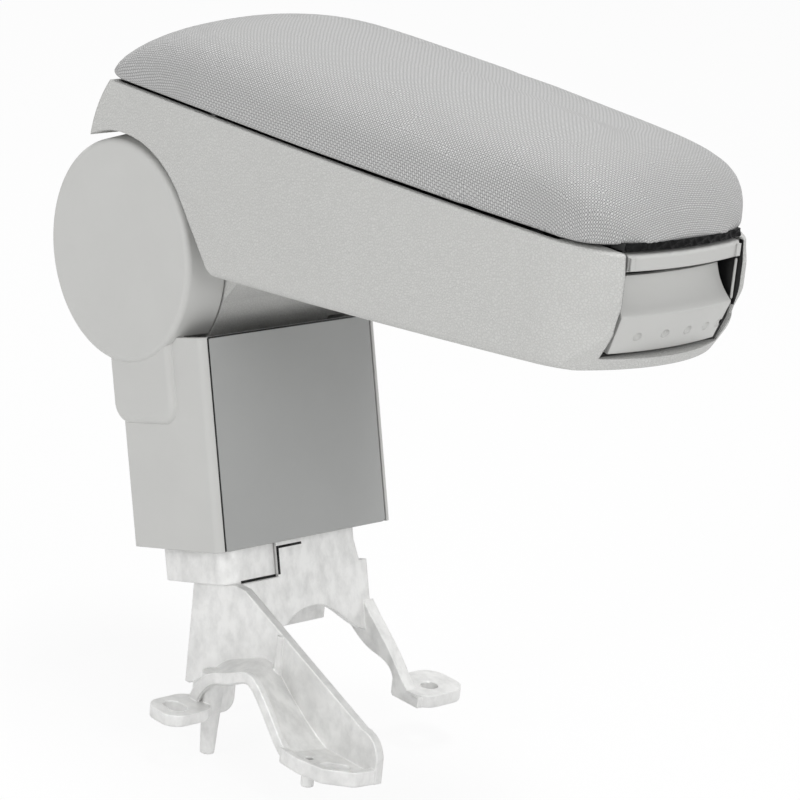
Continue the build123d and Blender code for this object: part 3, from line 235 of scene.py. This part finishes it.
def use_group(build, group, **values):
    return build.add("ShaderNodeGroup", values, node_tree=group).outputs


def shaded(colour, share):
    return tuple(part * share for part in colour[:3]) + (1.0,)


def set_bump(build, shader, height, strength, distance, normal=None):
    bump = build.add("ShaderNodeBump", {"Height": height, "Strength": strength, "Distance": distance})
    if normal is not None:
        build.put(bump.inputs["Normal"], normal)
    build.put(shader.inputs["Normal"], bump.outputs[0])


def woven_fabric(name, light, dark):
    """Grey woven seat cloth: pale threads with darker gaps, matt, with a slight sheen."""
    material, build, shader = start_material(name, Sheen_Weight=0.25, Sheen_Roughness=0.5,
                                             Specular_IOR_Level=0.25)
    place = build.add("ShaderNodeAttribute", attribute_name="cloth").outputs["Vector"]
    weave = use_group(build, WEAVE, Vector=place, Pitch=0.00118)
    cloud = use_group(build, MOTTLE, Vector=place, Cloud=25.0, Speckle=700.0)
    threads = build.mix(build.ramp(weave["Tint"], 0.2, 0.8), dark, light)
    # Painted shade: the gaps between the threads are darkened.
    tone = build.mix(build.math("MULTIPLY", weave["Gap"], 0.9), threads, shaded(dark, 0.38))
    tone = build.mix(build.ramp(cloud["Cloud"], 0.3, 0.7, 0.0, 0.16), tone, (0.42, 0.42, 0.41, 1.0))
    build.put(shader.inputs["Base Color"], tone)
    build.put(shader.inputs["Roughness"], build.ramp(weave["Height"], 0.0, 1.0, 0.95, 0.8))
    set_bump(build, shader, weave["Height"], 0.7, 0.0004)
    return material


def grained_plastic(name, colour, cell, relief, edge=0.0012):
    """Moulded plastic with a leather grain: dull in the creases, a little shinier on the cells."""
    material, build, shader = start_material(name, Specular_IOR_Level=0.4)
    place = object_place(build)
    grain = use_group(build, GRAIN, Vector=place, Cell=cell)
    cloud = use_group(build, MOTTLE, Vector=place, Cloud=18.0, Speckle=600.0)
    edges = use_group(build, EDGES, Radius=edge)
    # Painted shade: the colour is darker in the grain's creases and a little paler on the cells.
    tone = build.mix(build.math("MULTIPLY", grain["Crease"], 0.5), shaded(colour, 1.04), shaded(colour, 0.76))
    tone = build.mix(build.ramp(cloud["Cloud"], 0.35, 0.75, 0.0, 0.12), tone, shaded(colour, 0.8))
    # Painted highlight: the base colour is made paler along the edges.
    build.put(shader.inputs["Base Color"], build.mix(build.math("MULTIPLY", edges["Edge"], 0.25), tone,
                                                     shaded(colour, 1.2)))
    build.put(shader.inputs["Roughness"], build.ramp(grain["Height"], 0.1, 0.9, 0.66, 0.5))
    set_bump(build, shader, grain["Height"], relief, 0.0003, edges["Normal"])
    return material


def satin_plastic(name, colour, low, high, relief=0.12, edge=0.0006):
    """Moulded plastic with a fine spark-eroded finish: speckled gloss and a faint cloudiness."""
    material, build, shader = start_material(name, Specular_IOR_Level=0.45)
    place = object_place(build)
    cloud = use_group(build, MOTTLE, Vector=place, Cloud=22.0, Speckle=1700.0)
    edges = use_group(build, EDGES, Radius=edge)
    tone = build.mix(build.ramp(cloud["Cloud"], 0.35, 0.75, 0.0, 0.3), colour, shaded(colour, 0.86))
    # Painted highlight: the base colour is made paler along the edges.
    build.put(shader.inputs["Base Color"], build.mix(build.math("MULTIPLY", edges["Edge"], 0.3), tone,
                                                     shaded(colour, 1.25)))
    build.put(shader.inputs["Roughness"], build.ramp(cloud["Speckle"], 0.3, 0.7, low, high))
    set_bump(build, shader, cloud["Speckle"], relief, 0.0001, edges["Normal"])
    return material


def cast_metal(name, colour):
    """Die-cast aluminium: pale dull skin with grey clouds and fine pits; paler on the edges as a painted
    highlight, and smoother there where they are rubbed.
    """
    material, build, shader = start_material(name, Metallic=0.55)
    place = object_place(build)
    flow = build.add("ShaderNodeMapping", {"Vector": place, "Scale": (1.0, 1.3, 0.8)}).outputs[0]
    cloud = use_group(build, MOTTLE, Vector=flow, Cloud=130.0, Speckle=1300.0)
    stain = build.noise(place, 32.0, 3.0)
    edges = use_group(build, EDGES, Radius=0.0012)
    tone = build.mix(build.ramp(cloud["Cloud"], 0.38, 0.72, 0.0, 0.7), colour, shaded(colour, 0.74))
    tone = build.mix(build.ramp(stain, 0.5, 0.72, 0.0, 0.55), tone, shaded(colour, 0.7))
    # Painted highlight: the base colour is made paler along the edges.
    tone = build.mix(build.math("MULTIPLY", edges["Edge"], 0.7), tone, shaded(colour, 1.25))
    build.put(shader.inputs["Base Color"], tone)
    rough = build.ramp(cloud["Cloud"], 0.3, 0.7, 0.44, 0.6)
    rubbed = build.math("MULTIPLY", edges["Edge"], 0.12)
    build.put(shader.inputs["Roughness"], build.math("SUBTRACT", rough, rubbed))
    set_bump(build, shader, cloud["Height"], 0.3, 0.0003, edges["Normal"])
    return material


def plated_steel(name, colour):
    """Zinc-plated steel: cloudy grey metal with a fine grain."""
    material, build, shader = start_material(name, Metallic=1.0)
    place = object_place(build)
    cloud = use_group(build, MOTTLE, Vector=place, Cloud=120.0, Speckle=1500.0)
    tone = build.mix(build.ramp(cloud["Cloud"], 0.35, 0.7), colour, shaded(colour, 0.7))
    build.put(shader.inputs["Base Color"], tone)
    build.put(shader.inputs["Roughness"], build.ramp(cloud["Speckle"], 0.3, 0.7, 0.26, 0.42))
    set_bump(build, shader, cloud["Speckle"], 0.1, 0.0001)
    return material


def black_film(name, colour):
    """Thin black film folded under the lid: glossy, with fine creases in it."""
    material, build, shader = start_material(name, Specular_IOR_Level=0.07)
    place = object_place(build)
    fold = build.add("ShaderNodeMapping", {"Vector": place, "Scale": (1.0, 1.0, 0.35)}).outputs[0]
    cloud = use_group(build, MOTTLE, Vector=fold, Cloud=420.0, Speckle=1500.0)
    tone = build.mix(build.ramp(cloud["Cloud"], 0.4, 0.7), colour, shaded(colour, 1.6))
    build.put(shader.inputs["Base Color"], tone)
    build.put(shader.inputs["Roughness"], build.ramp(cloud["Cloud"], 0.3, 0.7, 0.18, 0.42))
    set_bump(build, shader, cloud["Height"], 0.6, 0.0005)
    return material


LIGHT_GREY = (0.545, 0.546, 0.532, 1.0)
# Painted shade: the covers' grey plastic darkened for the front panel, which lies in the arm's shadow.
SHADED_PANEL_GREY = (0.385, 0.39, 0.385, 1.0)
BLACK = (0.010, 0.010, 0.0105, 1.0)

materials = {
    "grey_fabric": woven_fabric("woven_grey_cloth", (0.62, 0.62, 0.617, 1.0), (0.43, 0.43, 0.43, 1.0)),
    "grained_grey": grained_plastic("grained_grey_plastic", LIGHT_GREY, 0.0013, 0.6),
    "satin_grey": satin_plastic("satin_grey_plastic", LIGHT_GREY, 0.42, 0.54, 0.4),
    "panel_grey": satin_plastic("panel_grey_plastic_shaded", SHADED_PANEL_GREY, 0.38, 0.5, 0.3),
    "black_plastic": satin_plastic("black_plastic", BLACK, 0.35, 0.5),
    "rubber_black": grained_plastic("black_rubber", (0.014, 0.014, 0.014, 1.0), 0.0008, 0.2),
    "cast_aluminium": cast_metal("cast_aluminium", (0.82, 0.82, 0.81, 1.0)),
    "steel": plated_steel("plated_steel", (0.62, 0.62, 0.63, 1.0)),
}
for part in frame["record"]["subparts"]:
    mesh = nodes[part["node"]].data
    mesh.materials.clear()
    mesh.materials.append(materials[part["material_slot"]])


# Pieces

def link_object(name, data):
    """A new object in the scene, at the origin."""
    item = bpy.data.objects.new(name, data)
    bpy.context.scene.collection.objects.link(item)
    return item


def thicken(piece, depth):
    """Gives a sheet its thickness, behind the face that is seen."""
    wall = piece.modifiers.new("Thickness", "SOLIDIFY")
    wall.thickness = depth
    wall.offset = -1.0


def new_piece(name, points, faces, body, slot, material=None):
    """A smooth mesh object at the origin from an array of points and an array or list of faces."""
    mesh = bpy.data.meshes.new(name)
    mesh.from_pydata(points.reshape(-1, 3).tolist(), [], [list(face) for face in faces])
    mesh.polygons.foreach_set("use_smooth", np.ones(len(mesh.polygons), bool))
    mesh.materials.append(material or materials[slot])
    piece = link_object(name, mesh)
    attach(piece, body)
    return piece


def grid_faces(rows, columns, closed=False):
    """Quads of a grid of points; a closed grid joins its last column to its first."""
    i, j = np.meshgrid(np.arange(rows - 1), np.arange(columns if closed else columns - 1), indexing="ij")
    k = (j + 1) % columns
    corners = [i * columns + j, (i + 1) * columns + j, (i + 1) * columns + k, i * columns + k]
    return np.stack(corners, -1).reshape(-1, 4)


def smooth_step(value, low, high):
    """Nought below low, one above high, and the cubic 3t^2 - 2t^3 between them."""
    t = np.clip((value - low) / (high - low), 0, 1)
    return t * t * (3 - 2 * t)


def pad_base(x):
    """Lower edge of the padded cover: level along the sides, lifted by a smooth step at the front."""
    return HINGE + PAD_BASE + PAD_LIFT * smooth_step(x, 0.284, 0.2995)


def pad_half_width(x, shrink):
    """Plan of the pad: sides that draw in by a square law, a superellipse at the front, round rear corners."""
    taper = np.clip((np.minimum(x, NOSE_START) - TAPER_START) / (NOSE_START - TAPER_START), 0, None)
    width = PAD_HALF_WIDTH - TAPER * taper ** 2
    front = np.clip((x - NOSE_START) / NOSE_LENGTH, 0, 1)
    width = width * np.clip(1 - front ** 2.4, 0, None) ** (1 / 2.4)
    rear = np.clip((REAR_START - x) / REAR_CORNER, 0, 1)
    width = width - REAR_CORNER * (1 - np.sqrt(np.clip(1 - rear ** 2, 0, None)))
    return np.clip(width - shrink, 0.002, None)


def pad_surface(crown, shrink, rows=100, columns=72):
    """Crowned pad: height is the crown, which falls to the front, times a flat-topped power law each way."""
    ends = np.sin(np.linspace(-np.pi / 2, np.pi / 2, rows)) * 0.5 + 0.5
    x = PAD_REAR + shrink + (PAD_FRONT - PAD_REAR - 2 * shrink) * ends
    along = 2 * (x - PAD_REAR) / (PAD_FRONT - PAD_REAR) - 1
    rise = (crown - 0.0026 * along) * (1 - np.abs(along) ** np.where(along < 0, 6.2, 12.9))
    across = np.sin(np.linspace(-np.pi / 2, np.pi / 2, columns))
    crest = np.clip(1 - np.abs(across) ** 1.72, 0, None) ** 0.15
    width = pad_half_width(x, shrink)[:, None]
    floor = pad_base(x)[:, None]
    level = HINGE + PAD_BASE + rise[:, None] * crest
    top = np.stack(np.broadcast_arrays(x[:, None], width * across, np.maximum(level, floor)), -1)
    base = top[:, ::-1].copy()
    base[..., 2] = floor
    return np.concatenate([top, base[:, 1:-1]], 1)


def activate(piece):
    bpy.ops.object.select_all(action="DESELECT")
    piece.select_set(True)
    bpy.context.view_layer.objects.active = piece


def mesh_points(mesh):
    points = np.empty(len(mesh.vertices) * 3)
    mesh.vertices.foreach_get("co", points)
    return points.reshape(-1, 3)


def inflate(piece, pressure, cap, frames=20):
    """Blows the pad up as cloth with its base held, then limits how far any point has moved."""
    mesh = piece.data
    start = mesh_points(mesh)
    held = piece.vertex_groups.new(name="base")
    held.add(np.nonzero(start[:, 2] < pad_base(start[:, 0]) + 0.0030)[0].tolist(), 1.0, "REPLACE")
    cloth = piece.modifiers.new("Cloth", "CLOTH")
    settings = cloth.settings
    settings.quality = 6
    settings.use_pressure = True
    settings.uniform_pressure_force = pressure
    settings.vertex_group_mass = "base"
    settings.tension_stiffness = settings.compression_stiffness = 25
    settings.shear_stiffness = 12
    settings.bending_stiffness = 1.0
    settings.effector_weights.gravity = 0
    scene = bpy.context.scene
    for number in range(1, frames + 1):
        scene.frame_set(number)
    shaped = piece.evaluated_get(bpy.context.evaluated_depsgraph_get()).to_mesh()
    moved = mesh_points(shaped) - start
    length = np.linalg.norm(moved, axis=1, keepdims=True)
    moved *= np.minimum(1.0, cap / np.maximum(length, 1e-9))
    piece.to_mesh_clear()
    piece.modifiers.remove(cloth)
    piece.vertex_groups.clear()
    scene.frame_set(1)
    mesh.vertices.foreach_set("co", (start + moved).ravel())
    mesh.update()


def lay_cloth(mesh):
    """Cloth coordinates in metres: a point's plan, pushed away from the lid's spine by its fall from the crown.

    The threads so run straight down the sides and the front, and cross at a slant on the corners.
    """
    points = mesh_points(mesh)
    spine = np.stack([np.clip(points[:, 0], 0.045, 0.252), np.zeros(len(points))], -1)
    outwards = points[:, :2] - spine
    outwards /= np.linalg.norm(outwards, axis=1, keepdims=True) + 1e-6
    place = np.zeros_like(points)
    place[:, :2] = points[:, :2] + outwards * (points[:, 2].max() - points[:, 2])[:, None]
    mesh.attributes.new("cloth", "FLOAT_VECTOR", "POINT").data.foreach_set("vector", place.ravel())


def lid_cushion():
    """The padded lid: remeshed, blown up a little as cloth, then smoothed by one subdivision."""
    surface = pad_surface(PAD_CROWN, 0.0012)
    rows, columns = surface.shape[:2]
    ends = [np.arange(columns), np.arange(rows * columns - 1, (rows - 1) * columns - 1, -1)]
    faces = list(grid_faces(rows, columns, closed=True)) + ends
    piece = new_piece("lid_cushion", surface, faces, "lid", "grey_fabric")
    activate(piece)
    piece.data.remesh_voxel_size = 0.0045
    bpy.ops.object.voxel_remesh()
    inflate(piece, 4.0, 0.004)
    piece.data.polygons.foreach_set("use_smooth", np.ones(len(piece.data.polygons), bool))
    lay_cloth(piece.data)
    if not piece.data.materials:
        piece.data.materials.append(materials["grey_fabric"])
    finer = piece.modifiers.new("Subdivision", "SUBSURF")
    finer.levels = finer.render_levels = 1
    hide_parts("lid_pad")


def bowed(angle, radius, height):
    """Points on the bow of the front grips: a circle about its centre, at a height above the hinge axis."""
    x = GRIP_CENTRE + radius * np.cos(angle)
    y = radius * np.sin(angle)
    return np.stack(np.broadcast_arrays(x, y, HINGE + height), -1)


def lid_front_film():
    """Creased film over the front edge of the lid's board: a bowed strip, in depth a sum of folded sines."""
    angle = np.linspace(-1, 1, 260)[:, None] * np.arcsin(FILM_HALF / GRIP_RADIUS)
    height = np.linspace(0.0786, 0.0818, 16)[None, :]
    run = angle * GRIP_RADIUS * 1000
    rise = height * 1000
    creases = ((0.5, 0.27, 0.55, 0.4), (0.4, 0.41, -0.8, 1.9), (0.3, 0.83, 0.35, 0.7))
    folds = sum(size * (1 - np.abs(np.sin(run * pace + rise * slant + start)))
                for size, pace, slant, start in creases)
    radius = GRIP_RADIUS - 0.0014 + 0.001 * folds
    faces = grid_faces(*np.broadcast_shapes(angle.shape, height.shape))
    piece = new_piece("lid_front_film", bowed(angle, radius, height), faces, "lid", "black_plastic",
                      black_film("black_film", (0.006, 0.006, 0.0062, 1.0)))
    thicken(piece, 0.0003)


def both_sides(points, faces):
    """A piece of the left side and its mirror image on the right, as one set of points and faces."""
    points = points.reshape(-1, 3)
    mirrored = faces[:, ::-1] + len(points)
    return np.concatenate([points, points * (1, -1, 1)]), np.concatenate([faces, mirrored])


def mouth_swell(height):
    """How far the cheeks stand out, from nought to one: a smooth step up, part of one down, a round top end."""
    up = smooth_step(height, 0.0445, 0.058)
    down = 1 - 0.4 * smooth_step(height, 0.066, 0.0775)
    return up * down * np.sqrt(np.clip((0.0779 - height) / 0.0010, 0, 1))


def mouth_cheeks():
    """Full edges of the box beside the mouth: the round cheek's radius grows by the swell towards the front,
    and a bowed front face, half a sine wave in depth, closes it to the mouth."""
    height = np.concatenate([np.linspace(0.0447, 0.0765, 40), np.linspace(0.0767, 0.0779, 10)])[:, None]
    swell = mouth_swell(height)
    angle = np.linspace(np.radians(80.0), CHEEK_END, 44)[None, :]
    radius = CHEEK_RADIUS - 0.0001 + 0.0034 * swell * smooth_step(-angle, -1.33, -0.80)
    x = CHEEK_CENTRE[0] + radius * np.cos(angle)
    y = CHEEK_CENTRE[1] + radius * np.sin(angle)
    share = np.linspace(0, 1, 14)[None, 1:]
    front_x = x[:, -1:] + 0.0007 * swell * np.sin(np.pi * share)
    front_y = y[:, -1:] + (MOUTH_HALF - y[:, -1:]) * share
    plan_x = np.concatenate([x, front_x, np.full_like(swell, 0.2970)], 1)
    plan_y = np.concatenate([y, front_y, np.full_like(swell, MOUTH_HALF)], 1)
    points = np.stack(np.broadcast_arrays(plan_x, plan_y, HINGE + height), -1)
    new_piece("mouth_cheeks", *both_sides(points, grid_faces(*points.shape[:2])), "arm", "grained_grey")


def mouth_linings():
    """Black inner face of each cheek: a strip between the cheek's front edge and the grips' housing."""
    height = np.linspace(0.0490, 0.0772, 40)[:, None]
    front = CHEEK_CENTRE[0] + (CHEEK_RADIUS + 0.0033 * mouth_swell(height)) * np.cos(CHEEK_END)
    depth = np.linspace(0, 1, 12)[None, :]
    x = front + (0.2975 - front) * depth
    y = MOUTH_HALF - 0.0001 - 0.0003 * np.sin(np.pi * depth)
    points = np.stack(np.broadcast_arrays(x, y, HINGE + height), -1)
    new_piece("mouth_linings", *both_sides(points, grid_faces(*points.shape[:2])), "arm", "black_plastic")


def mouth_edge_highlights():
    """Painted highlights on the housing's front edges: narrow light strips, a round section carried upwards,
    with tapered ends.
    """
    height = np.linspace(0.0515, 0.0690, 40)[:, None]
    girth = 0.0006 * np.clip(np.minimum(height - 0.0513, 0.0692 - height) / 0.001, 0, 1) ** 0.5
    turn = np.linspace(0, 2 * np.pi, 17)[None, :-1]
    x = 0.2982 + girth * np.cos(turn)
    y = 0.0333 - girth * np.sin(turn)
    points = np.stack(np.broadcast_arrays(x, y, HINGE + height), -1)
    new_piece("mouth_edge_highlights", *both_sides(points, grid_faces(40, 16, closed=True)), "arm", "satin_grey")


def joint_shadow_strips():
    """Painted shade: black strips lying in the gaps of the front panel and of the two castings, flat on planes
    of the leaning column.

    Each row gives the plane's distance out from the hinge axis and the strip's limits across and along the
    column. The column's own axes are turned about the hinge by its lean.
    """
    strips = np.array([(0.05205, -0.0492, -0.0484, -0.1390, -0.0408),
                       (0.05205, -0.0488, 0.0484, -0.0411, -0.0403),
                       (0.04305, -0.0121, -0.0108, -0.1560, -0.1426),
                       (0.04305, -0.0108, 0.0030, -0.1438, -0.1426),
                       (0.04105, -0.0330, -0.0123, -0.1570, -0.1558)])
    out = strips[:, :1]
    across = strips[:, [1, 2, 2, 1]]
    along = strips[:, [3, 3, 4, 4]]
    cosine, sine = np.cos(COLUMN_LEAN), np.sin(COLUMN_LEAN)
    points = np.stack([out * cosine - along * sine, across, HINGE + out * sine + along * cosine], -1)
    faces = np.arange(points.size // 3).reshape(-1, 4)
    # The strips use the black rubber material to stand in for shadow in the gaps.
    piece = new_piece("joint_shadow_strips", points, faces, "stand", "rubber_black")
    thicken(piece, 0.0002)


lid_cushion()
lid_front_film()
joint_shadow_strips()
mouth_cheeks()
mouth_linings()
mouth_edge_highlights()


# Floor, light and camera

def seen_directly(build):
    """One for rays from the camera, and for reflections."""
    path = build.add("ShaderNodeLightPath").outputs
    return build.math("MAXIMUM", path["Is Camera Ray"], path["Is Glossy Ray"])


def pale_floor():
    """A wide pale floor just below the locating pins, white to the camera and lit for the shadow."""
    half = 6.0
    low = cad_box[0][2] - 0.001
    corners = np.array([(-half, -half, low), (half, -half, low), (half, half, low), (-half, half, low)])
    mesh = bpy.data.meshes.new("floor")
    mesh.from_pydata(corners.tolist(), [], [(0, 1, 2, 3)])
    material = bpy.data.materials.new("pale_floor")
    build = empty_tree(material)
    diffuse = build.add("ShaderNodeBsdfDiffuse", {"Color": (0.86, 0.86, 0.86, 1.0)})
    bright = build.add("ShaderNodeEmission", {"Color": (1, 1, 1, 1), "Strength": 1.0})
    both = build.add("ShaderNodeMixShader", {"Fac": build.math("MULTIPLY", seen_directly(build), 0.92)})
    build.put(both.inputs[1], diffuse.outputs[0])
    build.put(both.inputs[2], bright.outputs[0])
    build.add("ShaderNodeOutputMaterial", {"Surface": both.outputs[0]})
    mesh.materials.append(material)
    link_object("floor", mesh)


def soft_lamp(name, place, target, size, power):
    """A round area lamp that points at a target."""
    lamp = bpy.data.lights.new(name, "AREA")
    lamp.shape = "DISK"
    lamp.size = size
    lamp.energy = power
    holder = link_object(name, lamp)
    holder.location = place
    holder.rotation_euler = (Vector(target) - Vector(place)).to_track_quat("-Z", "Y").to_euler()


def studio_world(strength):
    """A white surround that lights the object at the given strength and is plain white to the camera."""
    world = bpy.data.worlds.new("studio")
    bpy.context.scene.world = world
    build = empty_tree(world)
    level = build.math("ADD", build.math("MULTIPLY", seen_directly(build), 1.0 - strength), strength)
    glow = build.add("ShaderNodeBackground", {"Color": (1, 1, 1, 1), "Strength": level})
    build.add("ShaderNodeOutputWorld", {"Surface": glow.outputs[0]})


pale_floor()
studio_world(0.48)
soft_lamp("side", (0.0, -2.4, 1.0), (0.12, 0, 0.2), 0.9, 17)
soft_lamp("top", (0.20, 0.25, 2.7), (0.12, 0, 0.2), 1.0, 34)
soft_lamp("front", (2.1, -0.4, 1.20), (0.12, 0, 0.15), 1.0, 14)

camera = bpy.data.cameras.new("camera")
camera.sensor_width = 36.0
camera.lens = 157.5
camera.clip_start = 0.05
camera.clip_end = 50.0
viewer = link_object("camera", camera)
right, up, back = (0.6561, 0.7479, 0.1014), (-0.2910, 0.1267, 0.9484), (0.6964, -0.6517, 0.3007)
turn = Matrix((right, up, back)).transposed().to_4x4()
viewer.matrix_world = Matrix.Translation((1.2327, -1.0222, HINGE + 0.4347)) @ turn
bpy.context.scene.camera = viewer
bpy.context.scene.view_settings.view_transform = "Standard"
